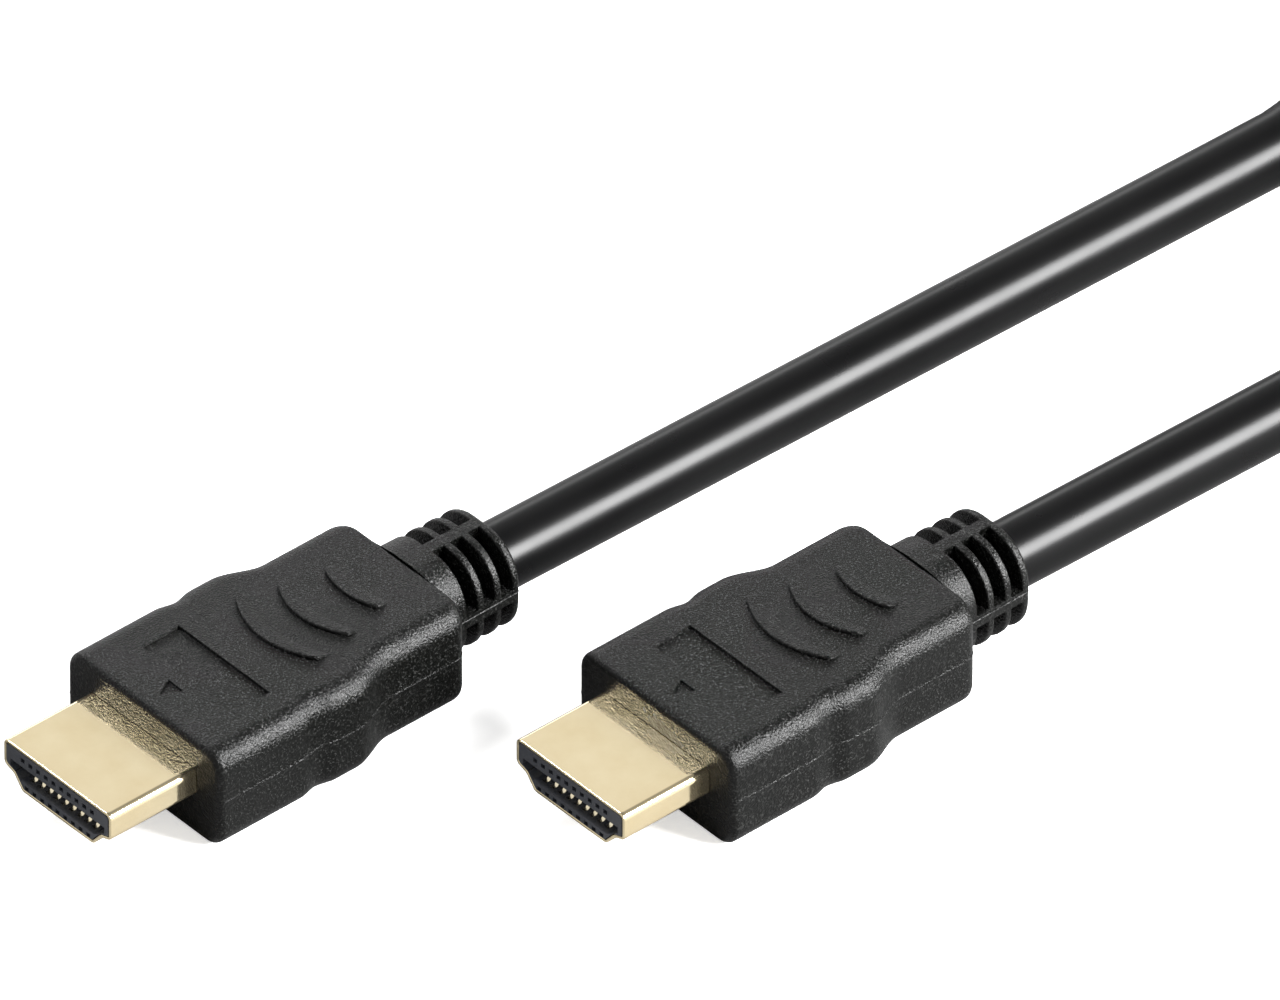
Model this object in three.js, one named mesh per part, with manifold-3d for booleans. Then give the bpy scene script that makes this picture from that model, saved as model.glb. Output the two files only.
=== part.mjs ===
import * as THREE from 'three';
import { mergeVertices } from 'three/addons/utils/BufferGeometryUtils.js';
import Module from 'manifold-3d';

// A round video cable with a moulded plug on each end. Millimetres, +Z up.
// Each plug is drawn about its own axis: mouth at Y = 0, cable leaving along +Y.
// The assembly stands on Z = 0, with the plugs' common box centred on X = 0, Y = 0.

// Contacts: ten above the mouth and nine below it, half a pitch apart. The widths follow from them.
const contactPitch = 1;
const upperContactCount = 10;
const lowerContactCount = 9;
const upperRowWidth = upperContactCount * contactPitch;
const lowerRowWidth = lowerContactCount * contactPitch;

// Metal shell of the plug, a flattened tube with a narrower floor
const shellExtraWidth = 3.9;
const shellWidth = upperRowWidth + shellExtraWidth;
const shellHeight = 4.45;
const shellSheet = 0.3;
const shellReach = 9.5;
const shellSeat = 3;
const shellSideHeight = 2.7;
const shellShoulderIn = 1.25;
const shellShoulderDrop = 0.4;
const shellFloorExtraWidth = 0.2;
const shellFloorWidth = lowerRowWidth + shellFloorExtraWidth;
const shellCornerRadius = 0.6;

// Plastic insulator that fills the shell, with the mouth for the socket's tongue
const fitClearance = 0.06;
const seatClearance = 0.1;
const mouthExtraWidth = 2.2;
const mouthWidth = upperRowWidth + mouthExtraWidth;
const mouthTopDepth = 1.75;
const mouthSideHeight = 0.65;
const mouthHeight = 1.55;
const mouthFloorExtraWidth = 0.5;
const mouthFloorWidth = lowerRowWidth + mouthFloorExtraWidth;
const mouthReach = 8.5;
const insulatorSetback = 0.4;

// Each contact, and the window and channel that it lies in
const contactWidth = 0.4;
const contactThickness = 0.18;
const contactBow = 0.85;
const lowerBowShare = 0.4;
const contactTipReach = 0.75;
const contactBowReach = 1.45;
const contactRestReach = 6.5;
const contactSideClearance = 0.05;
const upperWindowDepth = 1.05;
const lowerWindowDepth = 3.85;
const windowHeight = 0.45;
const windowSill = 0.55;
const channelHeadroom = 0.12;

// Overmould: the black body of the plug
const bodyExtraWidth = 6;
const bodyWidth = shellWidth + bodyExtraWidth;
const bodyHeight = 10.2;
const bodyLength = 29;
const bodyEdgeRadius = 2;
const bodyFrontRadius = 0.7;
const bodyRearSideRadius = 1.5;
const bodyRearTopRadius = 0.5;
const dipPlace = 11.3;
const dipHalfLength = 2;
const dipDepth = 0.4;
const waistStart = 15.5;
const waistLength = 4.7;
const waistDepth = 1.45;

// Plain recessed label panel and direction mark on the top face
const panelWidth = 11.7;
const panelLength = 4.1;
const panelPlace = 4.9;
const panelDepth = 0.28;
const markWidth = 1.95;
const markPlace = 1.8;
const markLength = 1.9;
const markDepth = 0.2;

// Three curved grip ribs: the place of each as a share of the body's length, and its half width and
// the bulge of its front and rear edge towards the mouth as shares of the body's width
const gripRibs = [
  { place: 0.45, reach: 0.274, frontShare: 0.0905, rearShare: 0.078 },
  { place: 0.5965, reach: 0.231, frontShare: 0.0754, rearShare: 0.0628 },
  { place: 0.767, reach: 0.176, frontShare: 0.04, rearShare: 0.03 },
];
const gripRibWidth = 1.65;
const gripRibHeight = 0.35;
const gripRibRoot = 0.4;
const gripRibRearLift = 0.02;
const gripRibEndDrop = 0.6;
const gripRibEndPower = 6;
const gripRibSteps = 12;

// Strain relief, moulded in one piece with the body
const reliefSize = 10.2;
const reliefCornerRadius = 4;
const reliefLength = 8.8;
const reliefTaper = 0.12;
const reliefEndRadius = 0.5;
const reliefCollar = 2.75;
const slotCount = 3;
const slotLength = 1.2;
const slotPitch = 1.97;
const reliefRibWidth = 1.4;

// Cable
const cableDiameter = 6.3;
const cableClearance = 0.3;
const cableSides = 12;
const boreReach = 10;

// Coil of the length between the plugs: the turns of the outer shape, seen in section
const coilMiddleRadius = 35.4;
const coilTurnPitch = 6.5;
const coilTurnsWide = 3;
const coilTurnsHigh = 2;
const coilPlace = 149.35;
const coilClearance = 0.3;
const coilSteps = 40;
const coilCornerSteps = 2;

// Middle line of each lead: out of the plug, down to the surface, and out to the coil's outer turn
const leadPointsA = [
  [-14.15, 0.05, 5.1],
  [-14.15, 7, 5.1],
  [-14.15, 15, 4.93],
  [-14.15, 25, 4.71],
  [-14.15, 35, 4.5],
  [-14.15, 45, 4.28],
  [-14.15, 55, 4.06],
  [-14.15, 65, 3.85],
  [-14.15, 75, 3.63],
  [-14.15, 85, 3.42],
  [-14.15, 96, 3.2],
  [-14.2, 98.5, 3.2],
  [-14.9, 102.4, 3.2],
  [-16.6, 106, 3.2],
  [-19.2, 109.3, 3.2],
  [-29.6, 119.7, 3.2],
];
const leadPointsB = [
  [14.15, 32.65, 5.1],
  [14.15, 39.65, 5.1],
  [14.15, 48, 4.92],
  [14.15, 58, 4.7],
  [14.15, 68, 4.48],
  [14.15, 78, 4.3],
  [14.15, 86, 4.3],
  [14.15, 94.5, 4.8],
  [14.95, 100.6, 6],
  [17.3, 106.25, 7.6],
  [21, 111.1, 8.95],
  [29.6, 119.7, 9.45],
];
const leadStepsA = 16;
const leadStepsB = 12;

// Where the two plugs lie
const plugSpacingX = 28.3;
const plugSpacingY = 32.6;

// Values that follow
const plugLength = shellReach + bodyLength + reliefLength;
const axisHeight = Math.max(bodyHeight, reliefSize) / 2;
const bodyFront = shellReach;
const bodyRear = shellReach + bodyLength;
const insulatorLength = shellReach + shellSeat - insulatorSetback;
const boreRadius = cableDiameter / 2 + cableClearance;
const plugPlaceX = plugSpacingX / 2;
const plugPlaceY = (plugSpacingY + plugLength) / 2;
const cutPast = 1;
const curveSteps = 4;

// Shares of an edge radius at which a rounded end takes a ring
const frontEdgeShares = [0, 0.03, 0.12, 0.27, 0.5, 1];
const rearEdgeShares = [1, 0.62, 0.33, 0.15, 0.05, 0];
const reliefEdgeShares = [1, 0.3, 0];
const dipSteps = 4;
const waistSteps = 6;

const wasm = await Module();
wasm.setup();

const blackVinyl = { color: 0x1d1d1e, roughness: 0.62, metalness: 0 };
const palegold = { color: 0xe3cf9c, roughness: 0.18, metalness: 1 };
const greyNylon = { color: 0x3f434c, roughness: 0.5, metalness: 0 };
const brightGold = { color: 0xf0dcae, roughness: 0.22, metalness: 1 };
const glossJacket = { color: 0x101011, roughness: 0.28, metalness: 0 };

// Closed solid from a geometry, with the vertices that meet merged into one
function toSolid(geometry) {
  const bare = geometry.clone();
  bare.deleteAttribute('normal');
  bare.deleteAttribute('uv');
  const merged = mergeVertices(bare, 1e-4);
  const mesh = new wasm.Mesh({
    numProp: 3,
    vertProperties: new Float32Array(merged.attributes.position.array),
    triVerts: new Uint32Array(merged.index.array),
  });
  return new wasm.Manifold(mesh);
}

function toGeometry(solid) {
  const mesh = solid.getMesh();
  const geometry = new THREE.BufferGeometry();
  geometry.setAttribute('position', new THREE.BufferAttribute(mesh.vertProperties, 3));
  geometry.setIndex(new THREE.BufferAttribute(mesh.triVerts, 1));
  geometry.computeVertexNormals();
  return geometry;
}

function named(name, geometry, finish) {
  const mesh = new THREE.Mesh(geometry, new THREE.MeshStandardMaterial(finish));
  mesh.name = name;
  return mesh;
}

// Outline moved inwards by an even wall: each corner is where the two moved sides cross
function offsetOutline(points, inset) {
  return points.map((corner, i) => {
    const before = points[(i + points.length - 1) % points.length];
    const after = points[(i + 1) % points.length];
    const sideIn = corner.clone().sub(before).normalize();
    const sideOut = after.clone().sub(corner).normalize();
    const normalIn = new THREE.Vector2(-sideIn.y, sideIn.x);
    const normalOut = new THREE.Vector2(-sideOut.y, sideOut.x);
    const bisector = normalIn.add(normalOut);
    return corner.clone().addScaledVector(bisector, (2 * inset) / bisector.lengthSq());
  });
}

// Closed path with its corners rounded
function roundedPath(points, radius, path = new THREE.Shape()) {
  points.forEach((corner, i) => {
    const before = points[(i + points.length - 1) % points.length];
    const after = points[(i + 1) % points.length];
    const toBefore = before.clone().sub(corner);
    const toAfter = after.clone().sub(corner);
    const halfAngle = Math.acos(toBefore.dot(toAfter) / (toBefore.length() * toAfter.length())) / 2;
    const room = 0.45 * Math.min(toBefore.length(), toAfter.length());
    const reach = Math.min(radius / Math.tan(halfAngle), room);
    const start = corner.clone().addScaledVector(toBefore.normalize(), reach);
    const end = corner.clone().addScaledVector(toAfter.normalize(), reach);
    if (i === 0) {
      path.moveTo(start.x, start.y);
    } else {
      path.lineTo(start.x, start.y);
    }
    path.quadraticCurveTo(corner.x, corner.y, end.x, end.y);
  });
  path.closePath();
  return path;
}

// Shape in X and Z carried along +Y
function extrudeAlongY(shape, start, length) {
  const geometry = new THREE.ExtrudeGeometry(shape, {
    depth: length,
    bevelEnabled: false,
    curveSegments: curveSteps,
  });
  return geometry.rotateX(Math.PI / 2).translate(0, start + length, 0);
}

// Shape in Y and Z carried along +X, centred on a place across the plug
function extrudeAlongX(shape, middle, width) {
  const geometry = new THREE.ExtrudeGeometry(shape, { depth: width, bevelEnabled: false });
  const turn = new THREE.Matrix4().makeBasis(
    new THREE.Vector3(0, 1, 0),
    new THREE.Vector3(0, 0, 1),
    new THREE.Vector3(1, 0, 0),
  );
  return geometry.applyMatrix4(turn).translate(middle - width / 2, 0, 0);
}

function boxBetween(low, high) {
  const geometry = new THREE.BoxGeometry(high[0] - low[0], high[1] - low[1], high[2] - low[2]);
  return geometry.translate((low[0] + high[0]) / 2, (low[1] + high[1]) / 2, (low[2] + high[2]) / 2);
}

// Rounded rectangle across the plug at one place along it, counter-clockwise seen from the mouth
function sectionRing(place, halfWidth, halfHeight, radius, steps) {
  const ring = [];
  const corners = [[1, 1], [-1, 1], [-1, -1], [1, -1]];
  corners.forEach(([sideX, sideZ], quarter) => {
    for (let k = 0; k <= steps; k += 1) {
      const angle = ((quarter + k / steps) * Math.PI) / 2;
      const x = sideX * (halfWidth - radius) + radius * Math.cos(angle);
      const z = sideZ * (halfHeight - radius) + radius * Math.sin(angle);
      ring.push(new THREE.Vector3(x, place, z));
    }
  });
  return ring;
}

// Closed skin through rings that follow each other along +Y
function loft(rings) {
  const count = rings[0].length;
  const positions = rings.flat().flatMap((point) => [point.x, point.y, point.z]);
  const first = rings[0][0].y;
  const last = rings[rings.length - 1][0].y;
  positions.push(0, first, 0, 0, last, 0);
  const frontMiddle = rings.length * count;
  const rearMiddle = frontMiddle + 1;
  const rearRow = (rings.length - 1) * count;
  const index = [];
  for (let j = 0; j < count; j += 1) {
    const next = (j + 1) % count;
    for (let i = 0; i < rings.length - 1; i += 1) {
      const near = i * count;
      const far = near + count;
      index.push(near + j, far + j, far + next, near + j, far + next, near + next);
    }
    index.push(frontMiddle, j, next);
    index.push(rearMiddle, rearRow + next, rearRow + j);
  }
  const geometry = new THREE.BufferGeometry();
  geometry.setAttribute('position', new THREE.Float32BufferAttribute(positions, 3));
  geometry.setIndex(index);
  return geometry;
}

// Outer line of the metal shell in X and Z
function shellOutline() {
  const side = shellWidth / 2;
  const top = shellHeight / 2;
  const shoulder = top - shellSideHeight;
  const floor = shellFloorWidth / 2;
  return [
    new THREE.Vector2(-floor, -top),
    new THREE.Vector2(floor, -top),
    new THREE.Vector2(side - shellShoulderIn, shoulder - shellShoulderDrop),
    new THREE.Vector2(side, shoulder),
    new THREE.Vector2(side, top),
    new THREE.Vector2(-side, top),
    new THREE.Vector2(-side, shoulder),
    new THREE.Vector2(-side + shellShoulderIn, shoulder - shellShoulderDrop),
  ];
}

function makeShell() {
  const outline = roundedPath(shellOutline(), shellCornerRadius);
  const innerRadius = shellCornerRadius - shellSheet;
  outline.holes.push(roundedPath(offsetOutline(shellOutline(), shellSheet), innerRadius, new THREE.Path()));
  return extrudeAlongY(outline, 0, shellReach + shellSeat);
}

// Places of the contacts across the plug, and the wall of the mouth that holds each
function contactPlaces() {
  const rows = [
    { count: upperContactCount, up: 1 },
    { count: lowerContactCount, up: -1 },
  ];
  return rows.flatMap(({ count, up }) =>
    Array.from({ length: count }, (_, i) => ({ up, x: (i - (count - 1) / 2) * contactPitch })),
  );
}

// Heights that one row of contacts works to, measured from the plug's axis
function contactLevels(up) {
  const mouthTop = shellHeight / 2 - mouthTopDepth;
  const mouthFloor = mouthTop - mouthHeight;
  const wall = up > 0 ? mouthTop : mouthFloor;
  const window = shellHeight / 2 - (up > 0 ? upperWindowDepth : lowerWindowDepth);
  return { wall, window };
}

// Contact: a thin strip that bows into the mouth and ends behind the window in front of it
function makeContact({ up, x }) {
  const { wall, window } = contactLevels(up);
  const rest = window;
  const bowed = wall - up * contactBow * (up > 0 ? 1 : lowerBowShare);
  const line = [
    new THREE.Vector2(insulatorLength - insulatorSetback, rest),
    new THREE.Vector2(contactRestReach, rest),
    new THREE.Vector2(contactBowReach + contactTipReach, bowed),
    new THREE.Vector2(contactBowReach, bowed),
    new THREE.Vector2(contactTipReach, rest),
  ];
  const half = contactThickness / 2;
  const sideOf = (sign) => line.map((point, i) => {
    const before = line[Math.max(i - 1, 0)];
    const after = line[Math.min(i + 1, line.length - 1)];
    const along = after.clone().sub(before).normalize();
    return point.clone().add(new THREE.Vector2(-along.y, along.x).multiplyScalar(sign * half));
  });
  const strip = new THREE.Shape([...sideOf(1), ...sideOf(-1).reverse()]);
  return extrudeAlongX(strip, x, contactWidth);
}

function mouthOutline() {
  const top = shellHeight / 2 - mouthTopDepth;
  const side = mouthWidth / 2;
  const floor = mouthFloorWidth / 2;
  return [
    new THREE.Vector2(-floor, top - mouthHeight),
    new THREE.Vector2(floor, top - mouthHeight),
    new THREE.Vector2(side, top - mouthSideHeight),
    new THREE.Vector2(side, top),
    new THREE.Vector2(-side, top),
    new THREE.Vector2(-side, top - mouthSideHeight),
  ];
}

// Insulator: shell's inner outline, with the mouth, and a window and a channel for each contact
function makeInsulator() {
  const wall = shellSheet + fitClearance;
  const outline = roundedPath(offsetOutline(shellOutline(), wall), shellCornerRadius - shellSheet);
  let solid = toSolid(extrudeAlongY(outline, 0, insulatorLength));
  const mouth = new THREE.Shape(mouthOutline());
  solid = solid.subtract(toSolid(extrudeAlongY(mouth, -cutPast, mouthReach + cutPast)));
  const half = contactWidth / 2 + contactSideClearance;
  contactPlaces().forEach(({ up, x }) => {
    const { wall: wallLevel, window } = contactLevels(up);
    const mouthMiddle = shellHeight / 2 - mouthTopDepth - mouthHeight / 2;
    const windowCut = boxBetween(
      [x - half, -cutPast, window - windowHeight / 2],
      [x + half, windowSill + cutPast, window + windowHeight / 2],
    );
    const outer = window + up * (contactThickness / 2 + channelHeadroom);
    const channelCut = boxBetween(
      [x - half, windowSill, Math.min(outer, mouthMiddle)],
      [x + half, mouthReach, Math.max(outer, mouthMiddle)],
    );
    const grip = contactThickness / 2 + contactSideClearance;
    const gripCut = boxBetween(
      [x - half, mouthReach - cutPast, window - grip],
      [x + half, insulatorLength + cutPast, window + grip],
    );
    solid = solid.subtract(toSolid(windowCut));
    solid = solid.subtract(toSolid(channelCut));
    solid = solid.subtract(toSolid(gripCut));
  });
  return toGeometry(solid);
}

// Half width of the body at a distance behind its front face
function bodyHalfWidth(behind) {
  const dip = THREE.MathUtils.clamp(1 - Math.abs(behind - dipPlace) / dipHalfLength, 0, 1);
  const waist = THREE.MathUtils.smoothstep(behind, waistStart, waistStart + waistLength);
  return bodyWidth / 2 - dipDepth * dip * dip * (3 - 2 * dip) - waistDepth * waist;
}

// How far the skin stands in at a distance from an end whose edge is rounded
function edgeInset(distance, radius) {
  if (distance >= radius) {
    return 0;
  }
  return radius - Math.sqrt(radius * radius - (radius - distance) ** 2);
}

function makeBody() {
  const places = frontEdgeShares.map((share) => share * bodyFrontRadius);
  for (let k = 0; k <= dipSteps; k += 1) {
    places.push(dipPlace + ((2 * k) / dipSteps - 1) * dipHalfLength);
  }
  for (let k = 0; k <= waistSteps; k += 1) {
    places.push(waistStart + (k * waistLength) / waistSteps);
  }
  rearEdgeShares.forEach((share) => places.push(bodyLength - share * bodyRearSideRadius));
  const rings = places.map((behind) => {
    const toRear = bodyLength - behind;
    const front = edgeInset(behind, bodyFrontRadius);
    const sideInset = Math.max(front, edgeInset(toRear, bodyRearSideRadius));
    const topInset = Math.max(front, edgeInset(toRear, bodyRearTopRadius));
    const radius = bodyEdgeRadius - topInset;
    const halfWidth = bodyHalfWidth(behind) - sideInset;
    return sectionRing(bodyFront + behind, halfWidth, bodyHeight / 2 - topInset, radius, curveSteps);
  });
  return toSolid(loft(rings));
}

// Grip rib: a crescent with an upright front that slopes back down to the top face
function makeGripRib({ place, reach, frontShare, rearShare }) {
  const top = bodyHeight / 2;
  const middleFront = bodyFront + place * bodyLength;
  const frontBulge = frontShare * bodyWidth;
  const rearBulge = rearShare * bodyWidth;
  const positions = [];
  for (let k = 0; k <= gripRibSteps; k += 1) {
    const share = (2 * k) / gripRibSteps - 1;
    const x = share * reach * bodyWidth;
    const front = middleFront + frontBulge * share * share;
    const rear = middleFront + gripRibWidth + rearBulge * share * share;
    const edge = gripRibHeight * (1 - gripRibEndDrop * share ** gripRibEndPower);
    positions.push(x, front, top - gripRibRoot, x, rear, top - gripRibRoot);
    positions.push(x, rear, top + gripRibRearLift, x, front, top + edge);
  }
  const index = [];
  for (let k = 0; k < gripRibSteps; k += 1) {
    const near = k * 4;
    for (let side = 0; side < 4; side += 1) {
      const next = (side + 1) % 4;
      index.push(near + side, near + next, near + 4 + next, near + side, near + 4 + next, near + 4 + side);
    }
  }
  const end = gripRibSteps * 4;
  index.push(0, 2, 1, 0, 3, 2, end, end + 1, end + 2, end, end + 2, end + 3);
  const geometry = new THREE.BufferGeometry();
  geometry.setAttribute('position', new THREE.Float32BufferAttribute(positions, 3));
  geometry.setIndex(index);
  return toSolid(geometry);
}

function makeRelief() {
  const start = bodyRear - cutPast;
  const end = bodyRear + reliefLength;
  const places = [start, bodyRear];
  reliefEdgeShares.forEach((share) => places.push(end - share * reliefEndRadius));
  const rings = places.map((place) => {
    const taper = (reliefTaper * (place - start)) / (end - start);
    const inset = edgeInset(end - place, reliefEndRadius);
    const half = reliefSize / 2 - taper - inset;
    return sectionRing(place, half, half, reliefCornerRadius - inset, curveSteps + 2);
  });
  return toSolid(loft(rings));
}

// Slots of the strain relief: each ring of four leaves a rib above, below and on both sides
function slotCutters() {
  const far = reliefSize;
  const near = reliefRibWidth / 2;
  const cutters = [];
  for (let k = 0; k < slotCount; k += 1) {
    const start = bodyRear + reliefCollar + k * slotPitch;
    const end = start + slotLength;
    cutters.push(boxBetween([near, start, near], [far, end, far]));
    cutters.push(boxBetween([-far, start, near], [-near, end, far]));
    cutters.push(boxBetween([-far, start, -far], [-near, end, -near]));
    cutters.push(boxBetween([near, start, -far], [far, end, -near]));
  }
  return cutters;
}

function makeOvermould() {
  const top = bodyHeight / 2;
  const panelStart = bodyFront + panelPlace;
  const panel = boxBetween(
    [-panelWidth / 2, panelStart, top - panelDepth],
    [panelWidth / 2, panelStart + panelLength, top + cutPast],
  );
  const markTip = bodyFront + markPlace;
  const mark = new THREE.ExtrudeGeometry(
    new THREE.Shape([
      new THREE.Vector2(0, markTip),
      new THREE.Vector2(markWidth / 2, markTip + markLength),
      new THREE.Vector2(-markWidth / 2, markTip + markLength),
    ]),
    { depth: markDepth + cutPast, bevelEnabled: false },
  ).translate(0, 0, top - markDepth);
  const seat = roundedPath(offsetOutline(shellOutline(), -seatClearance), shellCornerRadius + seatClearance);
  const seatCut = extrudeAlongY(seat, bodyFront - cutPast, shellSeat + seatClearance + cutPast);
  const boreLength = boreReach + cutPast;
  const bore = new THREE.CylinderGeometry(boreRadius, boreRadius, boreLength, 2 * cableSides)
    .translate(0, bodyRear + reliefLength - boreReach + boreLength / 2, 0);
  const cutters = [panel, mark, seatCut, bore, ...slotCutters()];
  let solid = makeBody().add(makeRelief());
  gripRibs.forEach((rib) => {
    solid = solid.add(makeGripRib(rib));
  });
  cutters.forEach((cutter) => {
    solid = solid.subtract(toSolid(cutter));
  });
  return toGeometry(solid);
}

function makePlug(prefix) {
  const plug = new THREE.Group();
  plug.add(named(`${prefix}_overmould`, makeOvermould(), blackVinyl));
  plug.add(named(`${prefix}_shell`, makeShell(), palegold));
  plug.add(named(`${prefix}_insulator`, makeInsulator(), greyNylon));
  contactPlaces().forEach((place, i) => {
    const number = String(i + 1).padStart(2, '0');
    plug.add(named(`${prefix}_contact_${number}`, makeContact(place), brightGold));
  });
  return plug;
}

// Coil: the outer shape of the wound turns, grown by a margin where it cuts a lead
function coilSolid(margin) {
  const halfWide = ((coilTurnsWide - 1) * coilTurnPitch + cableDiameter) / 2 + margin;
  const height = coilTurnsHigh * cableDiameter + margin;
  const section = roundedPath(
    [
      new THREE.Vector2(coilMiddleRadius - halfWide, -margin),
      new THREE.Vector2(coilMiddleRadius + halfWide, -margin),
      new THREE.Vector2(coilMiddleRadius + halfWide, height),
      new THREE.Vector2(coilMiddleRadius - halfWide, height),
    ],
    cableDiameter / 2,
  );
  const points = section.getPoints(coilCornerSteps);
  const ring = new THREE.LatheGeometry(points, coilSteps);
  return toSolid(ring.rotateX(Math.PI / 2).translate(0, coilPlace, 0));
}

// Lead: the cable from inside one plug's strain relief to the outer turn of the coil
function makeLead(points, steps) {
  const route = new THREE.CatmullRomCurve3(points.map((point) => new THREE.Vector3(...point)));
  const section = new THREE.Shape();
  section.absarc(0, 0, cableDiameter / 2, 0, 2 * Math.PI);
  const tube = new THREE.ExtrudeGeometry(section, {
    steps,
    curveSegments: cableSides,
    extrudePath: route,
  });
  return toGeometry(toSolid(tube).subtract(coilSolid(coilClearance)));
}

const cable = new THREE.Group();
const plugA = makePlug('plug_a');
plugA.position.set(-plugPlaceX, -plugPlaceY, axisHeight);
const plugB = makePlug('plug_b');
plugB.position.set(plugPlaceX, plugSpacingY - plugPlaceY, axisHeight);
cable.add(plugA, plugB);
cable.add(named('cable_lead_a', makeLead(leadPointsA, leadStepsA), glossJacket));
cable.add(named('cable_coil', toGeometry(coilSolid(0)), glossJacket));
cable.add(named('cable_lead_b', makeLead(leadPointsB, leadStepsB), glossJacket));

export default cable;
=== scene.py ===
import math

import bpy
import numpy as np
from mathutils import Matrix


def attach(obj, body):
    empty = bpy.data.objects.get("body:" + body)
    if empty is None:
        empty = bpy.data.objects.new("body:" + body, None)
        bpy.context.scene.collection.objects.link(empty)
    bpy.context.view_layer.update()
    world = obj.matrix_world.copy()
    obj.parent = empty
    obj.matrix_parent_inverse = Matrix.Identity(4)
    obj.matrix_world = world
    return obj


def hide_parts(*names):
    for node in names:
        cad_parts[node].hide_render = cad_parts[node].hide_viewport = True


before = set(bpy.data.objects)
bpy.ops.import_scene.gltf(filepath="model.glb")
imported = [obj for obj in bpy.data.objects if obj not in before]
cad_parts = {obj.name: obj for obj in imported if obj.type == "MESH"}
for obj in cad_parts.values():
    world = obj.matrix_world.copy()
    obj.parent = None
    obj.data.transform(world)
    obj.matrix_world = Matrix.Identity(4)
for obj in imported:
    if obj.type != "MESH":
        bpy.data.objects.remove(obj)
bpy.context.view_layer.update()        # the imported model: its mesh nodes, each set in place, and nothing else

mm = 0.001

# Where the plugs lie, in mm: each plug's own zero is on its axis, at the shell's mouth
layout = {
    "axisHeight": 5.1,
    "plugs": {"plug_a": (-14.15, -39.95), "plug_b": (14.15, -7.35)},
}

# Camera at the photograph's angle, with a long lens because the view there is close to parallel
cameraView = {
    "azimuth": 49.0,
    "elevation": 39.1,
    "lens": 1200.0,
    "sensor": 36.0,
    "frameWidth": 108.66,              # mm of the object across the picture
    "target": (-11.92, 23.10, 5.1),
    "nearClip": 0.1, "farClip": 50,    # in metres
}

camData = bpy.data.cameras.new("camera")
camObject = bpy.data.objects.new("camera", camData)
bpy.context.scene.collection.objects.link(camObject)
azimuth = math.radians(cameraView["azimuth"])
elevation = math.radians(cameraView["elevation"])
lookBack = np.array([
    math.sin(azimuth) * math.cos(elevation),
    -math.cos(azimuth) * math.cos(elevation),
    math.sin(elevation),
])
camData.sensor_width = cameraView["sensor"]
camData.lens = cameraView["lens"]
camDistance = cameraView["frameWidth"] * mm * cameraView["lens"] / cameraView["sensor"]
camData.clip_start, camData.clip_end = cameraView["nearClip"], cameraView["farClip"]
camObject.location = np.array(cameraView["target"]) * mm + lookBack * camDistance
camObject.rotation_euler = (math.pi / 2 - elevation, 0, azimuth)
bpy.context.scene.camera = camObject
print("camera placed")


# Cable: one round cord from plug to plug, through the leads' points and a wound coil
cable = {
    "diameter": 6.3,
    "length": 1500,
    "leadA": [
        (-14.15, 0.05, 5.1), (-14.15, 7, 5.1), (-14.15, 15, 4.93), (-14.15, 25, 4.71),
        (-14.15, 35, 4.5), (-14.15, 45, 4.28), (-14.15, 55, 4.06), (-14.15, 65, 3.85),
        (-14.15, 75, 3.63), (-14.15, 85, 3.42), (-14.15, 96, 3.2), (-14.2, 98.5, 3.2),
        (-14.9, 102.4, 3.2), (-16.6, 106, 3.2), (-19.2, 109.3, 3.2),
    ],
    "leadB": [
        (14.15, 32.65, 5.1), (14.15, 39.65, 5.1), (14.15, 48, 4.92), (14.15, 58, 4.7),
        (14.15, 68, 4.48), (14.15, 78, 4.3), (14.15, 86, 4.3), (14.15, 94.5, 4.8),
        (14.95, 100.6, 6), (17.3, 106.25, 7.6), (21, 111.1, 8.95),
    ],
    "coilMiddle": (0, 149.35),
    "middleRadius": 35.4,
    "turnPitch": 6.5,
    "lowTurns": 3,                     # outer turn to inner turn, on the floor
    "highTurns": 2.75,                 # inner turn to outer turn, on top of them
    "startAngle": 225,                 # degrees; the turns run clockwise seen from above
    "shiftStart": 0.74,                # share of a turn at which the cord steps to the next turn
    "shiftEnd": 0.985,
    "stepsPerTurn": 48,
    "floorHeight": 3.2,                # the middle of a cord that lies on the floor
    "layerRise": 6.25,                 # from the lower turns up to the upper ones
    "climbHalf": 0.13,                 # half of the climb between them, as a share of a turn
    "sampleGap": 1.6,
    "smoothSteps": 12,
    "sideSteps": 10,
    "exit": (-14.15, 7.35, 5.1),
}


def smoothStep(value, low, high):
    # 0 below low, 1 above high, and 3t^2 - 2t^3 between
    t = np.clip((value - low) / (high - low), 0, 1)
    return t * t * (3 - 2 * t)


def coilPoints(spec):
    # a spiral of level turns: the radius steps by one pitch near the end of each turn,
    # and the cord climbs one diameter round the inner turn between the two layers
    total = spec["lowTurns"] + spec["highTurns"]
    turns = np.linspace(0, total, int(total * spec["stepsPerTurn"]) + 1)
    steps = np.zeros_like(turns)
    for k in range(int(total)):
        sign = 1 if k < spec["lowTurns"] - 1 else -1
        if k != spec["lowTurns"] - 1:
            steps += sign * smoothStep(turns, k + spec["shiftStart"], k + spec["shiftEnd"])
    outer = spec["middleRadius"] + spec["turnPitch"]
    radius = outer - spec["turnPitch"] * steps
    climb = smoothStep(turns, spec["lowTurns"] - spec["climbHalf"], spec["lowTurns"] + spec["climbHalf"])
    height = spec["floorHeight"] + spec["layerRise"] * climb
    angle = np.radians(spec["startAngle"]) - 2 * np.pi * turns
    x = spec["coilMiddle"][0] + radius * np.cos(angle)
    y = spec["coilMiddle"][1] + radius * np.sin(angle)
    return np.stack([x, y, height], axis=1)


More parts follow.
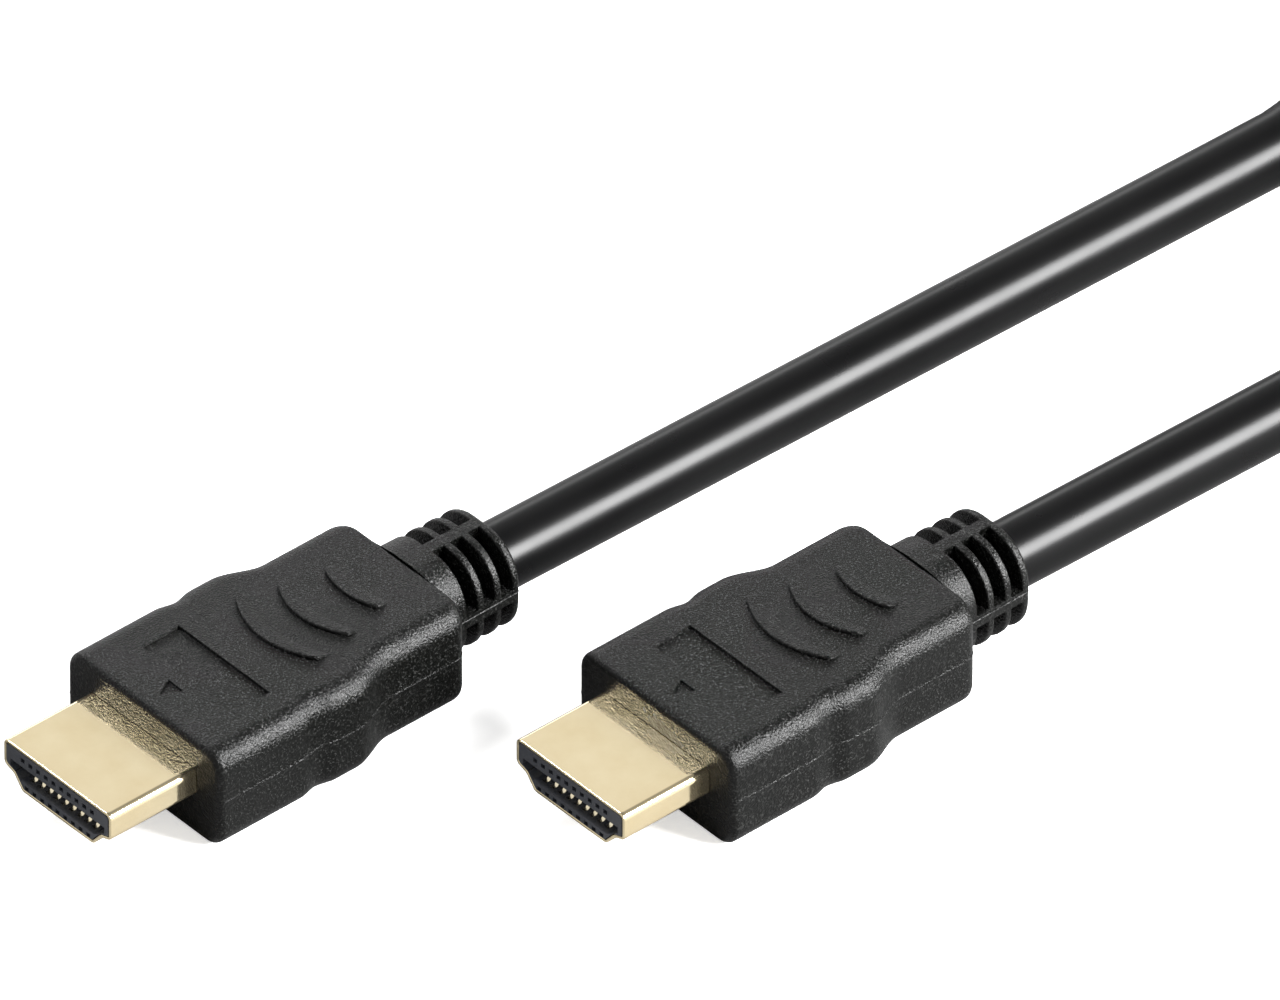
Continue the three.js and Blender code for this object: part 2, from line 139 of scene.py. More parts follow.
def resampled(points, gap, steps):
    # Catmull-Rom curve through the points, taken at even distances along it
    ends = np.vstack([2 * points[0] - points[1], points, 2 * points[-1] - points[-2]])
    a, b, c, d = ends[:-3], ends[1:-2], ends[2:-1], ends[3:]
    t = np.linspace(0, 1, steps, endpoint=False)[None, :, None]
    a, b, c, d = (row[:, None, :] for row in (a, b, c, d))
    line = 0.5 * (2 * b + (c - a) * t + (2 * a - 5 * b + 4 * c - d) * t**2
                  + (3 * b - a - 3 * c + d) * t**3)
    line = np.vstack([line.reshape(-1, 3), points[-1]])
    along = np.concatenate([[0], np.cumsum(np.linalg.norm(np.diff(line, axis=0), axis=1))])
    even = np.linspace(0, along[-1], int(along[-1] / gap) + 1)
    return np.stack([np.interp(even, along, line[:, i]) for i in range(3)], axis=1)


def makeCable(spec):
    route = np.vstack([spec["leadA"], coilPoints(spec), spec["leadB"][::-1]])
    line = resampled(route, spec["sampleGap"], spec["smoothSteps"]) * mm
    curve = bpy.data.curves.new("cable", "CURVE")
    curve.dimensions = "3D"
    # the points carry the radius, so that the box of the curve is the real one
    curve.bevel_depth = 1.0
    curve.bevel_resolution = spec["sideSteps"]
    curve.use_fill_caps = True
    spline = curve.splines.new("POLY")
    spline.points.add(len(line) - 1)
    spline.points.foreach_set("co", np.column_stack([line, np.ones(len(line))]).ravel())
    spline.points.foreach_set("radius", np.full(len(line), spec["diameter"] / 2 * mm))
    piece = bpy.data.objects.new("cable", curve)
    bpy.context.scene.collection.objects.link(piece)
    length = np.linalg.norm(np.diff(line, axis=0), axis=1).sum()
    print(f"cable laid, {length:.3f} m along its middle line")
    return piece


cablePiece = makeCable(cable)
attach(cablePiece, "root")
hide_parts("cable_lead_a", "cable_coil", "cable_lead_b")


def makeMesh(name, rows, closeRows=False, capEnds=True):
    # skin over a grid of points: each row is a closed loop, and the end rows are closed by one face
    count, columns = rows.shape[:2]
    last = count if closeRows else count - 1
    i = np.arange(last)[:, None]
    j = np.arange(columns)[None, :]
    near = i * columns + j
    nearNext = i * columns + (j + 1) % columns
    far = ((i + 1) % count) * columns + j
    farNext = ((i + 1) % count) * columns + (j + 1) % columns
    faces = np.stack([near, far, farNext, nearNext], axis=-1).reshape(-1, 4).tolist()
    if capEnds and not closeRows:
        faces.append(list(range(columns)))
        faces.append(list(range((count - 1) * columns, count * columns))[::-1])
    mesh = bpy.data.meshes.new(name)
    mesh.from_pydata((rows.reshape(-1, 3) * mm).tolist(), [], faces)
    mesh.validate()
    piece = bpy.data.objects.new(name, mesh)
    bpy.context.scene.collection.objects.link(piece)
    return piece


def applyBoolean(piece, cutter, operation):
    change = piece.modifiers.new("cut", "BOOLEAN")
    change.operation = operation
    change.solver = "EXACT"
    change.object = cutter
    bpy.context.view_layer.objects.active = piece
    bpy.ops.object.modifier_apply(modifier=change.name)
    bpy.data.objects.remove(cutter)


def smoothBelow(piece, degrees):
    piece.data.polygons.foreach_set("use_smooth", np.ones(len(piece.data.polygons), bool))
    piece.data.set_sharp_from_angle(angle=math.radians(degrees))


# Shell: the standard Type A outline, in mm about the plug's axis
shell = {
    "width": 13.9, "height": 4.45, "sheet": 0.3, "length": 12.5, "sideHeight": 2.7,
    "shoulderIn": 1.25, "shoulderDrop": 0.4, "floorWidth": 9.2, "cornerRadius": 0.6,
    "rimRadius": 0.09, "cornerSteps": 8, "sideSteps": 4, "smoothAngle": 50,
    "innerRows": (8, 4, 1), "outerRows": (0.4, 1, 2, 3.5, 5, 6.5, 8, 9.5),
}


def roundedOutline(corners, radius, cornerSteps, sideSteps):
    # each corner is an arc that touches both its sides; the sides between arcs are cut evenly
    points = []
    corners = np.array(corners, float)
    arcs = []
    for i, corner in enumerate(corners):
        toBefore = corners[i - 1] - corner
        toAfter = corners[(i + 1) % len(corners)] - corner
        u = toBefore / np.linalg.norm(toBefore)
        v = toAfter / np.linalg.norm(toAfter)
        half = math.acos(np.clip(u @ v, -1, 1)) / 2
        shorter = min(np.linalg.norm(toBefore), np.linalg.norm(toAfter))
        reach = min(radius / math.tan(half), 0.45 * shorter)
        arcRadius = reach * math.tan(half)
        middle = corner + (u + v) / np.linalg.norm(u + v) * arcRadius / math.sin(half)
        start = corner + u * reach - middle
        end = corner + v * reach - middle
        sweep = math.atan2(start[0] * end[1] - start[1] * end[0], start @ end)
        angles = math.atan2(start[1], start[0]) + sweep * np.linspace(0, 1, cornerSteps + 1)
        arcs.append(middle + arcRadius * np.stack([np.cos(angles), np.sin(angles)], axis=1))
    # a point close to each arc keeps the shading of the flat between them even
    for i, arc in enumerate(arcs):
        following = arcs[(i + 1) % len(arcs)][0]
        side = np.concatenate([[0.01], np.linspace(0, 1, sideSteps + 1)[1:-1], [0.99]])[:, None]
        points.append(arc)
        points.append(arc[-1] + side * (following - arc[-1]))
    return np.vstack(points)


def shellOutline(spec):
    # flat top, upright sides, a shoulder below each, and slopes down to a narrower floor
    side, top, floor = spec["width"] / 2, spec["height"] / 2, spec["floorWidth"] / 2
    shoulder = top - spec["sideHeight"]
    inner, low = side - spec["shoulderIn"], shoulder - spec["shoulderDrop"]
    corners = [
        (-floor, -top), (floor, -top), (inner, low), (side, shoulder),
        (side, top), (-side, top), (-side, shoulder), (-inner, low),
    ]
    return roundedOutline(corners, spec["cornerRadius"], spec["cornerSteps"], spec["sideSteps"])


def outwardNormals(outline):
    # across the chord between each point's neighbours
    chord = np.roll(outline, -1, axis=0) - np.roll(outline, 1, axis=0)
    chord /= np.linalg.norm(chord, axis=1)[:, None]
    return np.stack([chord[:, 1], -chord[:, 0]], axis=1)


def standing(loop, y):
    # a loop drawn across and up, stood at one place along the plug
    return np.stack([loop[:, 0], np.full(len(loop), y), loop[:, 1]], axis=1)


def placed(points, plug):
    # a plug's own coordinates moved to where it lies
    x, y = layout["plugs"][plug]
    return points + np.array([x, y, layout["axisHeight"]])


def makeShell(plug, spec):
    # the outline carried round the sheet's own section: inside, over the rolled rim, and back outside
    outline = shellOutline(spec)
    normals = outwardNormals(outline)
    rim, sheet = spec["rimRadius"], spec["sheet"]
    turn = np.linspace(0, np.pi / 2, 6)
    innerRim = [(sheet - rim + rim * math.cos(a), rim - rim * math.sin(a)) for a in turn]
    outerRim = [(rim - rim * math.sin(a), rim - rim * math.cos(a)) for a in turn]
    inside = [(sheet, y) for y in (spec["length"], *spec["innerRows"])]
    outside = [(0, y) for y in (*spec["outerRows"], spec["length"])]
    rows = []
    for inset, y in inside + innerRim + outerRim + outside:
        loop = outline - normals * inset
        rows.append(standing(loop, y))
    piece = makeMesh(f"{plug}_gold_shell", placed(np.array(rows)[::-1], plug), closeRows=True)
    smoothBelow(piece, spec["smoothAngle"])
    return piece


# Overmould: body and strain relief in one skin, in mm about the plug's axis
overmould = {
    "front": 9.5, "width": 19.9, "height": 10.2, "length": 29.0, "edgeRadius": 2.0,
    "frontRadius": 0.7, "rearSideRadius": 1.5, "rearTopRadius": 0.5,
    "dipPlace": 11.3, "dipHalfLength": 2.0, "dipDepth": 0.4,
    "waistStart": 15.5, "waistLength": 4.7, "waistDepth": 1.45,
    "seamHeight": 0.2, "seamRidge": 0.06, "seamShare": 0.045,
    "reliefSize": 10.2, "reliefCorner": 4.0, "reliefLength": 8.8, "reliefTaper": 0.12,
    "reliefEndRadius": 0.5, "boreRadius": 3.22, "boreDepth": 2.0, "seatGap": 0.04, "seatDepth": 1.2,
    "collar": 2.75, "slotCount": 3, "slotLength": 1.2, "slotPitch": 1.97, "slotLip": 0.2,
    "ribWidth": 1.4, "cornerSteps": 10,
    "panelWidth": 11.7, "panelLength": 4.1, "panelPlace": 4.9, "panelDepth": 0.28, "panelFlare": 0.12,
    "markWidth": 1.95, "markLength": 1.9, "markPlace": 1.8, "markDepth": 0.2,
    "cutterRise": 0.3, "smoothAngle": 32,
    "firstRow": 1.4, "rowGap": 0.4, "lastRowGap": 0.2, "collarRows": (0.0, 0.4, 1.0, 1.7, 2.3),
    "lipShares": (1, 0.6, 0.33, 0.14, 0.03), "wallWidth": 0.01, "slotRow": 0.3,
    "ribEdgeIn": 0.03, "ribEdgeOut": 0.02,
    "seatLip": 0.05, "seatSpread": 1.008, "boreLip": 0.06, "boreSpread": 1.02,
}

# Places along each flat of the section, as shares of its half length
flatShares = np.array([
    -0.98, -0.8, -0.7, -0.64, -0.58, -0.5, -0.25, -0.06, -0.03,
    0, 0.03, 0.06, 0.25, 0.5, 0.58, 0.64, 0.7, 0.8, 0.98,
])


def sectionLoop(halfWidth, halfHeight, radius, spec, seam):
    # four arcs joined by four flats, with a fine ridge along the mould's parting line on both sides
    flatX, flatZ = halfWidth - radius, halfHeight - radius
    arc = np.linspace(0, np.pi / 2, spec["cornerSteps"] + 1)
    points = []
    sides = [(1, 1), (-1, 1), (-1, -1), (1, -1)]
    ridge = seam * np.clip(1 - np.abs(flatShares) / spec["seamShare"], 0, 1)
    for quarter, (signX, signZ) in enumerate(sides):
        angle = arc + quarter * np.pi / 2
        points.append(np.stack([signX * flatX + radius * np.cos(angle),
                                signZ * flatZ + radius * np.sin(angle)], axis=1))
        if quarter == 0:
            points.append(np.stack([-flatShares * flatX, np.full(len(flatShares), halfHeight)], axis=1))
        if quarter == 2:
            points.append(np.stack([flatShares * flatX, np.full(len(flatShares), -halfHeight)], axis=1))
        if quarter in (1, 3):
            sign = -1 if quarter == 1 else 1
            along = sign * flatShares
            height = along * flatZ + spec["seamHeight"] * (1 - np.abs(along))
            points.append(np.stack([sign * (halfWidth + ridge), height], axis=1))
    return np.vstack(points)


def raysToOutline(directions, outline):
    # where a ray from the axis in each direction meets the closed outline
    start = outline
    side = np.roll(outline, -1, axis=0) - outline
    cross = directions[:, None, 0] * side[None, :, 1] - directions[:, None, 1] * side[None, :, 0]
    cross = np.where(np.abs(cross) < 1e-12, 1e-12, cross)
    reach = (start[None, :, 0] * side[None, :, 1] - start[None, :, 1] * side[None, :, 0]) / cross
    share = (start[None, :, 0] * directions[:, None, 1] - start[None, :, 1] * directions[:, None, 0]) / cross
    good = (reach > 0) & (share >= -1e-9) & (share <= 1 + 1e-9)
    nearest = np.where(good, reach, np.inf).min(axis=1)
    return directions * nearest[:, None]


def edgeInset(distance, radius):
    # how far the skin stands in, at a distance from an end that is rounded off
    return radius - math.sqrt(max(radius**2 - max(radius - distance, 0) ** 2, 0))


def bodyHalfWidth(behind, spec):
    # full width, less a shallow dip on its own and a step that narrows the rear to a waist
    dip = max(1 - abs(behind - spec["dipPlace"]) / spec["dipHalfLength"], 0)
    waistEnd = spec["waistStart"] + spec["waistLength"]
    waist = float(smoothStep(np.array(behind), spec["waistStart"], waistEnd))
    dipIn = spec["dipDepth"] * dip * dip * (3 - 2 * dip)
    return spec["width"] / 2 - dipIn - spec["waistDepth"] * waist


def bodyRows(spec):
    # one section loop for each place along the body, set in at both rounded ends
    turn = np.linspace(0, np.pi / 2, 9)
    front = [spec["frontRadius"] * (1 - math.cos(a)) for a in turn]
    lastRow = spec["length"] - spec["rearSideRadius"] - spec["lastRowGap"]
    middle = np.arange(spec["firstRow"], lastRow, spec["rowGap"])
    rear = [spec["length"] - spec["rearSideRadius"] * (1 - math.sin(a)) for a in turn]
    tail = spec["length"] - spec["rearTopRadius"] * (1 - np.sin(turn[1:-1]))
    places = sorted({round(float(y), 5) for y in [*front, *middle, *rear, *tail]})
    rows = []
    for behind in places:
        toRear = spec["length"] - behind
        frontIn = edgeInset(behind, spec["frontRadius"])
        sideIn = max(frontIn, edgeInset(toRear, spec["rearSideRadius"]))
        topIn = max(frontIn, edgeInset(toRear, spec["rearTopRadius"]))
        halfWidth = bodyHalfWidth(behind, spec) - sideIn
        radius = spec["edgeRadius"] - topIn
        loop = sectionLoop(halfWidth, spec["height"] / 2 - topIn, radius, spec, spec["seamRidge"])
        rows.append((spec["front"] + behind, loop))
    return rows


def slotMask(spec):
    # 1 where a column of the relief's skin may sink into a slot, 0 on the four ribs that run along it
    half = spec["reliefSize"] / 2
    loop = sectionLoop(half, half, spec["reliefCorner"], spec, 0)
    nearest = np.abs(loop).min(axis=1)
    edge = spec["ribWidth"] / 2
    return smoothStep(nearest, edge - spec["ribEdgeIn"], edge + spec["ribEdgeOut"])


def reliefRows(spec):
    # the skin drops to the cable in each slot, between rounded lips
    start = spec["front"] + spec["length"]
    lip = spec["slotLip"]
    mask = slotMask(spec)[:, None]
    wall, row = spec["wallWidth"], spec["slotRow"]
    places = [*spec["collarRows"]]
    lips = [lip * share for share in spec["lipShares"]]
    for k in range(spec["slotCount"]):
        low = spec["collar"] + k * spec["slotPitch"]
        high = low + spec["slotLength"]
        places += [low - d for d in lips] + [low + wall, low + row, high - row, high - wall]
        places += [high + d for d in lips[::-1]]
    turn = np.linspace(0, np.pi / 2, 7)
    places += [spec["reliefLength"] - spec["reliefEndRadius"] * (1 - math.sin(a)) for a in turn]
    rows = []
    for place in sorted(places):
        taper = spec["reliefTaper"] * place / spec["reliefLength"]
        endIn = edgeInset(spec["reliefLength"] - place, spec["reliefEndRadius"])
        half = spec["reliefSize"] / 2 - taper - endIn
        outer = sectionLoop(half, half, spec["reliefCorner"] - endIn, spec, spec["seamRidge"])
        reach = np.linalg.norm(outer, axis=1)[:, None]
        drop = np.zeros_like(reach)
        for k in range(spec["slotCount"]):
            low = spec["collar"] + k * spec["slotPitch"]
            high = low + spec["slotLength"]
            outside = max(low - place, place - high)
            if outside < 0:
                drop = reach - spec["boreRadius"]
            elif outside < lip:
                drop = np.full_like(reach, edgeInset(outside, lip))
        rows.append((start + place, outer * (1 - mask * drop / reach)))
    return rows


def overmouldSkin(spec):
    # from the seat round the shell, out over the body and the relief, and back into the bore
    rows = bodyRows(spec)
    frontLoop = rows[0][1]
    outline = shellOutline(shell)
    seatLine = outline + outwardNormals(outline) * spec["seatGap"]
    seat = raysToOutline(frontLoop / np.linalg.norm(frontLoop, axis=1)[:, None], seatLine)
    relief = reliefRows(spec)
    endPlace = relief[-1][0]
    endLoop = relief[-1][1]
    bore = endLoop / np.linalg.norm(endLoop, axis=1)[:, None] * spec["boreRadius"]
    front = spec["front"]
    stack = [(front + spec["seatDepth"], seat), (front + spec["seatLip"], seat),
             (front, seat * spec["seatSpread"])]
    stack += rows + relief
    stack += [(endPlace, bore * spec["boreSpread"]), (endPlace - spec["boreLip"], bore),
              (endPlace - spec["boreDepth"], bore)]
    return np.array([standing(loop, y) for y, loop in stack])


# Grip ribs: place of each front edge behind the body's front, half width, and bulge of front and rear edge
gripRibs = {
    "rows": [(13.05, 5.45, 1.8, 1.55), (17.3, 4.6, 1.5, 1.25), (22.25, 3.5, 0.8, 0.6)],
    "width": 1.65, "height": 0.34, "root": 0.5, "edgeRadius": 0.2, "endRadius": 0.4, "steps": 30,
    "endDrop": 0.6, "rearRise": 0.02,
}


def makeGripRib(row, spec):
    # a curved band: parabolic front and rear edges and rounded ends, with a rolled front edge,
    # sloping from there back into the top face
    place, halfWidth, frontBulge, rearBulge = row
    end = np.linspace(0, np.pi / 2, 7)[:-1]
    tipReach = halfWidth - spec["endRadius"] * (1 - np.cos(end[::-1]))
    x = np.concatenate([-tipReach[::-1], np.linspace(-1, 1, spec["steps"] + 1) * tipReach[0], tipReach])
    x = np.unique(np.round(x, 6))[:, None]
    past = np.clip(np.abs(x) - (halfWidth - spec["endRadius"]), 0, None)
    tuck = spec["endRadius"] - np.sqrt(np.clip(spec["endRadius"] ** 2 - past**2, 0, None))
    share = x / halfWidth
    front = place + frontBulge * share**2 + tuck
    rear = place + spec["width"] + rearBulge * share**2 - tuck
    height = spec["height"] * np.clip(1 - tuck / spec["endRadius"] * spec["endDrop"], 0, 1)
    radius = spec["edgeRadius"]
    top = overmould["height"] / 2
    root = np.full_like(front, top - spec["root"])
    # the rolled edge is a quarter circle in steps of 30 degrees
    along = [front, front, front + 0.13 * radius, front + 0.5 * radius, front + radius, rear, rear]
    level = [root, top + height - radius, top + height - 0.5 * radius, top + height - 0.13 * radius,
             top + height, np.full_like(front, top + spec["rearRise"]), root]
    rows = np.stack([np.concatenate([x, y + overmould["front"], z], axis=1)
                     for y, z in zip(along, level)], axis=1)
    return rows[::-1]


def prism(low, high, flare):
    # a block whose upper end is larger by the flare all round
    (x0, y0, z0), (x1, y1, z1) = low, high
    base = np.array([(x0, y0), (x1, y0), (x1, y1), (x0, y1)], float)
    grow = np.array([(-1, -1), (1, -1), (1, 1), (-1, 1)]) * flare
    rows = [np.column_stack([base, np.full(4, z0)]), np.column_stack([base + grow, np.full(4, z1)])]
    return np.array(rows)[::-1]


def makeOvermould(plug, spec):
    piece = makeMesh(f"{plug}_moulding", placed(overmouldSkin(spec), plug))
    top = spec["height"] / 2
    for row in gripRibs["rows"]:
        rib = makeMesh("rib", placed(makeGripRib(row, gripRibs), plug))
        applyBoolean(piece, rib, "UNION")
    start = spec["front"] + spec["panelPlace"]
    half = spec["panelWidth"] / 2
    over = top + spec["cutterRise"]
    panel = prism((-half, start, top - spec["panelDepth"]), (half, start + spec["panelLength"], over),
                  spec["panelFlare"])
    applyBoolean(piece, makeMesh("panel", placed(panel, plug)), "DIFFERENCE")
    tip = spec["front"] + spec["markPlace"]
    base, half = tip + spec["markLength"], spec["markWidth"] / 2
    corners = np.array([(0, tip), (half, base), (-half, base)])
    mark = np.array([np.column_stack([corners, np.full(3, z)]) for z in (over, top - spec["markDepth"])])
    applyBoolean(piece, makeMesh("mark", placed(mark, plug)), "DIFFERENCE")
    smoothBelow(piece, spec["smoothAngle"])
    return piece


mouldings = []
shells = []
for plugName in layout["plugs"]:
    mouldings.append(makeOvermould(plugName, overmould))
    shells.append(makeShell(plugName, shell))
    faces = len(mouldings[-1].data.polygons) + len(shells[-1].data.polygons)
    print(f"{plugName}: moulding and shell made, {faces} faces")

for plugName, moulding, shellPiece in zip(layout["plugs"], mouldings, shells):
    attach(moulding, "root")
    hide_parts(f"{plugName}_overmould")
    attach(shellPiece, "root")
    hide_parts(f"{plugName}_shell")


# Shader node groups: each puts out only values that change over the surface

def newGroup(name, inputs, outputs):
    group = bpy.data.node_groups.new(name, "ShaderNodeTree")
    for label, value in inputs.items():
        socket = group.interface.new_socket(label, in_out="INPUT", socket_type="NodeSocketFloat")
        socket.default_value = value
    for label in outputs:
        group.interface.new_socket(label, in_out="OUTPUT", socket_type="NodeSocketFloat")
    return group, group.nodes.new("NodeGroupInput"), group.nodes.new("NodeGroupOutput")


def makeSparkGrain():
    # pitted grain of a spark-eroded mould: two sizes of noise, scaled in pits for each metre
    group, given, result = newGroup("sparkGrain", {"Fine": 6500.0, "Coarse": 2200.0}, ["Height", "Speck"])
    nodes, links = group.nodes, group.links
    place = nodes.new("ShaderNodeTexCoord")
    fine = nodes.new("ShaderNodeTexNoise")
    coarse = nodes.new("ShaderNodeTexNoise")
    for noise, label, detail in ((fine, "Fine", 2.0), (coarse, "Coarse", 3.0)):
        noise.inputs["Detail"].default_value = detail
        noise.inputs["Roughness"].default_value = 0.6
        links.new(place.outputs["Object"], noise.inputs["Vector"])
        links.new(given.outputs[label], noise.inputs["Scale"])
    blend = nodes.new("ShaderNodeMath")
    blend.operation = "MULTIPLY_ADD"
    blend.inputs[1].default_value = 0.25
    links.new(coarse.outputs["Fac"], blend.inputs[0])
    links.new(fine.outputs["Fac"], blend.inputs[2])
    links.new(blend.outputs["Value"], result.inputs["Height"])
    speck = nodes.new("ShaderNodeMapRange")
    speck.inputs["From Min"].default_value = 0.55
    speck.inputs["From Max"].default_value = 0.68
    links.new(fine.outputs["Fac"], speck.inputs["Value"])
    links.new(speck.outputs["Result"], result.inputs["Speck"])
    return group


def makeHandling():
    # slow cloudy change from handling, between two values
    group, given, result = newGroup("handling", {"Scale": 120.0, "Low": 0.2, "High": 0.3}, ["Value"])
    nodes, links = group.nodes, group.links
    place = nodes.new("ShaderNodeTexCoord")
    cloud = nodes.new("ShaderNodeTexNoise")
    cloud.inputs["Detail"].default_value = 4.0
    spread = nodes.new("ShaderNodeMapRange")
    spread.inputs["From Min"].default_value = 0.3
    spread.inputs["From Max"].default_value = 0.7
    links.new(place.outputs["Object"], cloud.inputs["Vector"])
    links.new(given.outputs["Scale"], cloud.inputs["Scale"])
    links.new(cloud.outputs["Fac"], spread.inputs["Value"])
    links.new(given.outputs["Low"], spread.inputs["To Min"])
    links.new(given.outputs["High"], spread.inputs["To Max"])
    links.new(spread.outputs["Result"], result.inputs["Value"])
    return group


sparkGrain = makeSparkGrain()
handling = makeHandling()


def newMaterial(name):
    material = bpy.data.materials.new(name)
    material.use_nodes = True
    nodes, links = material.node_tree.nodes, material.node_tree.links
    return material, nodes, links, nodes["Principled BSDF"]


def addGroup(nodes, group, **values):
    node = nodes.new("ShaderNodeGroup")
    node.node_tree = group
    for label, value in values.items():
        node.inputs[label].default_value = value
    return node


def mixColour(nodes, links, mask, low, high):
    # from the first colour to the second as the mask goes from 0 to 1
    mix = nodes.new("ShaderNodeMix")
    mix.data_type = "RGBA"
    mix.inputs["A"].default_value = (*low, 1)
    mix.inputs["B"].default_value = (*high, 1)
    links.new(mask, mix.inputs["Factor"])
    return mix.outputs["Result"]


def addBump(nodes, links, shader, height, strength, distance):
    bump = nodes.new("ShaderNodeBump")
    bump.inputs["Strength"].default_value = strength
    bump.inputs["Distance"].default_value = distance
    links.new(height, bump.inputs["Height"])
    links.new(bump.outputs["Normal"], shader.inputs["Normal"])


def makeVinyl():
    # black vinyl with the mould's spark-eroded grain
    material, nodes, links, shader = newMaterial("spark_grained_vinyl")
    grain = addGroup(nodes, sparkGrain, Fine=5000.0, Coarse=2300.0)
    haze = addGroup(nodes, handling, Scale=140.0, Low=0.24, High=0.29)
    colour = mixColour(nodes, links, grain.outputs["Speck"], (0.0006, 0.0007, 0.0005), (0.02, 0.0205, 0.0195))
    links.new(colour, shader.inputs["Base Color"])
    shader.inputs["Specular IOR Level"].default_value = 0.19
    links.new(haze.outputs["Value"], shader.inputs["Roughness"])
    addBump(nodes, links, shader, grain.outputs["Height"], 1.0, 0.00011)
    return material


def makeGold(name, low, high, roughLow, roughHigh, grainStrength):
    # plating: even colour with slow clouds, and a very fine grain in the polish
    material, nodes, links, shader = newMaterial(name)
    cloud = addGroup(nodes, handling, Scale=260.0, Low=0.0, High=1.0)
    haze = addGroup(nodes, handling, Scale=420.0, Low=roughLow, High=roughHigh)
    grain = addGroup(nodes, sparkGrain, Fine=9000.0, Coarse=700.0)
    colour = mixColour(nodes, links, cloud.outputs["Value"], low, high)
    links.new(colour, shader.inputs["Base Color"])
    links.new(haze.outputs["Value"], shader.inputs["Roughness"])
    shader.inputs["Metallic"].default_value = 0.95
    addBump(nodes, links, shader, grain.outputs["Height"], grainStrength, 0.00001)
    return material


def makeNylon():
    # bluish grey insulator with a light moulded grain
    material, nodes, links, shader = newMaterial("insulator_grey")
    grain = addGroup(nodes, sparkGrain, Fine=8000.0, Coarse=2600.0)
    haze = addGroup(nodes, handling, Scale=300.0, Low=0.42, High=0.5)
    colour = mixColour(nodes, links, grain.outputs["Speck"], (0.034, 0.037, 0.045), (0.052, 0.056, 0.066))
    links.new(colour, shader.inputs["Base Color"])
    links.new(haze.outputs["Value"], shader.inputs["Roughness"])
    addBump(nodes, links, shader, grain.outputs["Height"], 0.2, 0.00003)
    return material


def makeJacket():
    # smooth extruded jacket: glossy black, with a slight ripple from the wires below it
    material, nodes, links, shader = newMaterial("glossy_jacket")
    cloud = addGroup(nodes, handling, Scale=90.0, Low=0.0, High=1.0)
    haze = addGroup(nodes, handling, Scale=160.0, Low=0.27, High=0.31)
    grain = addGroup(nodes, sparkGrain, Fine=5000.0, Coarse=260.0)
    dark, light = (0.0015, 0.0015, 0.0016), (0.0025, 0.0025, 0.0026)
    links.new(mixColour(nodes, links, cloud.outputs["Value"], dark, light), shader.inputs["Base Color"])
    links.new(haze.outputs["Value"], shader.inputs["Roughness"])
    shader.inputs["Specular IOR Level"].default_value = 0.12
    addBump(nodes, links, shader, grain.outputs["Height"], 0.1, 0.00002)
    return material


def dress(piece, material):
    piece.data.materials.clear()
    piece.data.materials.append(material)


vinyl = makeVinyl()
shellGold = makeGold("polished_pale_gold", (0.80, 0.67, 0.42), (0.86, 0.74, 0.49), 0.05, 0.09, 0.06)
contactGold = makeGold("contact_gold", (0.88, 0.76, 0.52), (0.95, 0.86, 0.64), 0.16, 0.24, 0.1)
nylon = makeNylon()
jacket = makeJacket()
for piece in mouldings:
    dress(piece, vinyl)
for piece in shells:
    dress(piece, shellGold)
dress(cablePiece, jacket)
for name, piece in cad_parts.items():
    if "_contact_" in name:
        dress(piece, contactGold)
    elif "_insulator" in name:
        dress(piece, nylon)
print("materials made")


# Plain pale floor, soft surround, one large soft light and two weak ones
studio = {
    "floorSize": 6.0,                  # in metres, like the lights
    "floorSeen": (0.97, 0.97, 0.97),
    "floorBounced": (0.2, 0.2, 0.2),
    "floorGlow": (0.5, 0.5, 0.5),
    "horizon": 0.86, "zenith": 0.12, "fadeFrom": 0.68, "fadeTo": 0.9,
    "lampTarget": (0.0, 0.02, 0.0),
    "lights": [
        # name, direction to the light, distance, width, height, power
        ("rightSoftbox", (0.72, 0.51, 0.47), 0.9, 0.46, 0.4, 44.0),
        ("overheadSoftbox", (-0.58, -0.12, 0.8), 0.9, 0.22, 0.22, 4.4),
        ("leftStrip", (-0.83, 0.5, 0.25), 0.9, 0.7, 0.14, 1.2),
    ],
}


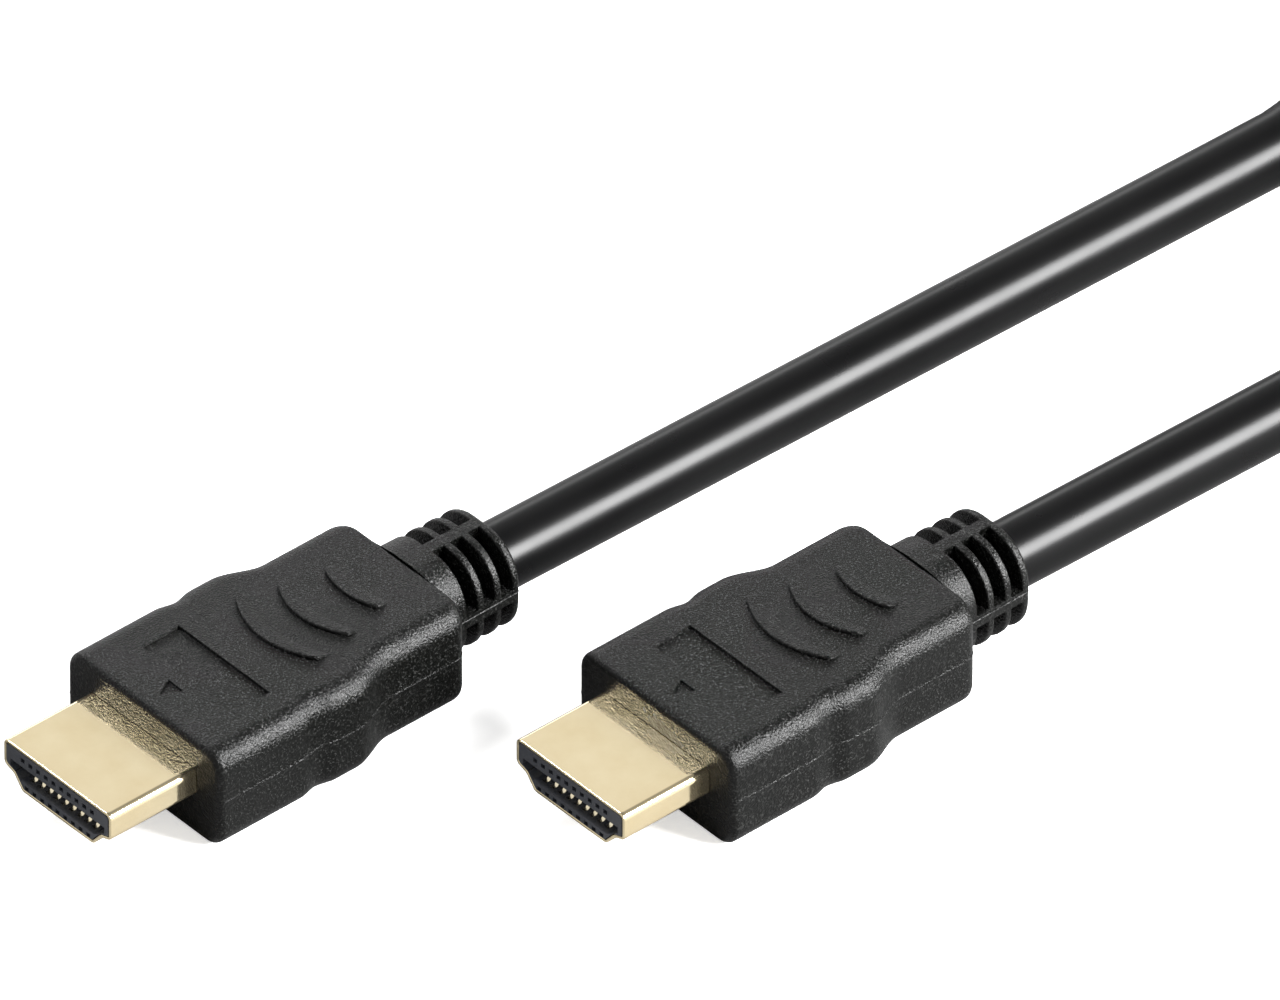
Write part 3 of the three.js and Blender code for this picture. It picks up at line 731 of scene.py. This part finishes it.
def makeFloor(spec):
    half = spec["floorSize"] / 2
    mesh = bpy.data.meshes.new("floor")
    corners = [(-half, -half, 0), (half, -half, 0), (half, half, 0), (-half, half, 0)]
    mesh.from_pydata(corners, [], [(0, 1, 2, 3)])
    floor = bpy.data.objects.new("floor", mesh)
    bpy.context.scene.collection.objects.link(floor)
    material, nodes, links, shader = newMaterial("pale_floor")
    # the floor sends less light back onto the cable than it shows to the camera
    ray = nodes.new("ShaderNodeLightPath")
    seen = mixColour(nodes, links, ray.outputs["Is Camera Ray"], spec["floorBounced"], spec["floorSeen"])
    links.new(seen, shader.inputs["Base Color"])
    # and a little light of its own keeps its shadows pale
    glow = mixColour(nodes, links, ray.outputs["Is Camera Ray"], (0.0, 0.0, 0.0), spec["floorGlow"])
    links.new(glow, shader.inputs["Emission Color"])
    shader.inputs["Emission Strength"].default_value = 1.0
    shader.inputs["Roughness"].default_value = 0.8
    mesh.materials.append(material)


def makeWorld(spec):
    # bright near the horizon and darker overhead
    world = bpy.data.worlds.new("studio")
    bpy.context.scene.world = world
    world.use_nodes = True
    nodes, links = world.node_tree.nodes, world.node_tree.links
    place = nodes.new("ShaderNodeTexCoord")
    split = nodes.new("ShaderNodeSeparateXYZ")
    spread = nodes.new("ShaderNodeMapRange")
    spread.interpolation_type = "SMOOTHSTEP"
    spread.inputs["From Min"].default_value = spec["fadeFrom"]
    spread.inputs["From Max"].default_value = spec["fadeTo"]
    spread.inputs["To Min"].default_value = spec["horizon"]
    spread.inputs["To Max"].default_value = spec["zenith"]
    links.new(place.outputs["Generated"], split.inputs["Vector"])
    links.new(split.outputs["Z"], spread.inputs["Value"])
    links.new(spread.outputs["Result"], nodes["Background"].inputs["Color"])


def makeLights(spec):
    # soft rectangles that face the plugs
    for name, direction, distance, width, height, power in spec["lights"]:
        light = bpy.data.lights.new(name, "AREA")
        light.shape = "RECTANGLE"
        light.size, light.size_y = width, height
        light.energy = power
        lamp = bpy.data.objects.new(name, light)
        bpy.context.scene.collection.objects.link(lamp)
        towards = np.array(direction) / np.linalg.norm(direction)
        lamp.location = np.array(spec["lampTarget"]) + towards * distance
        pitch = math.acos(towards[2])
        lamp.rotation_euler = (pitch, 0, math.atan2(towards[0], -towards[1]))


makeFloor(studio)
makeWorld(studio)
makeLights(studio)
bpy.context.scene.view_settings.view_transform = "Standard"
print("studio lit")

bpy.context.view_layer.update()
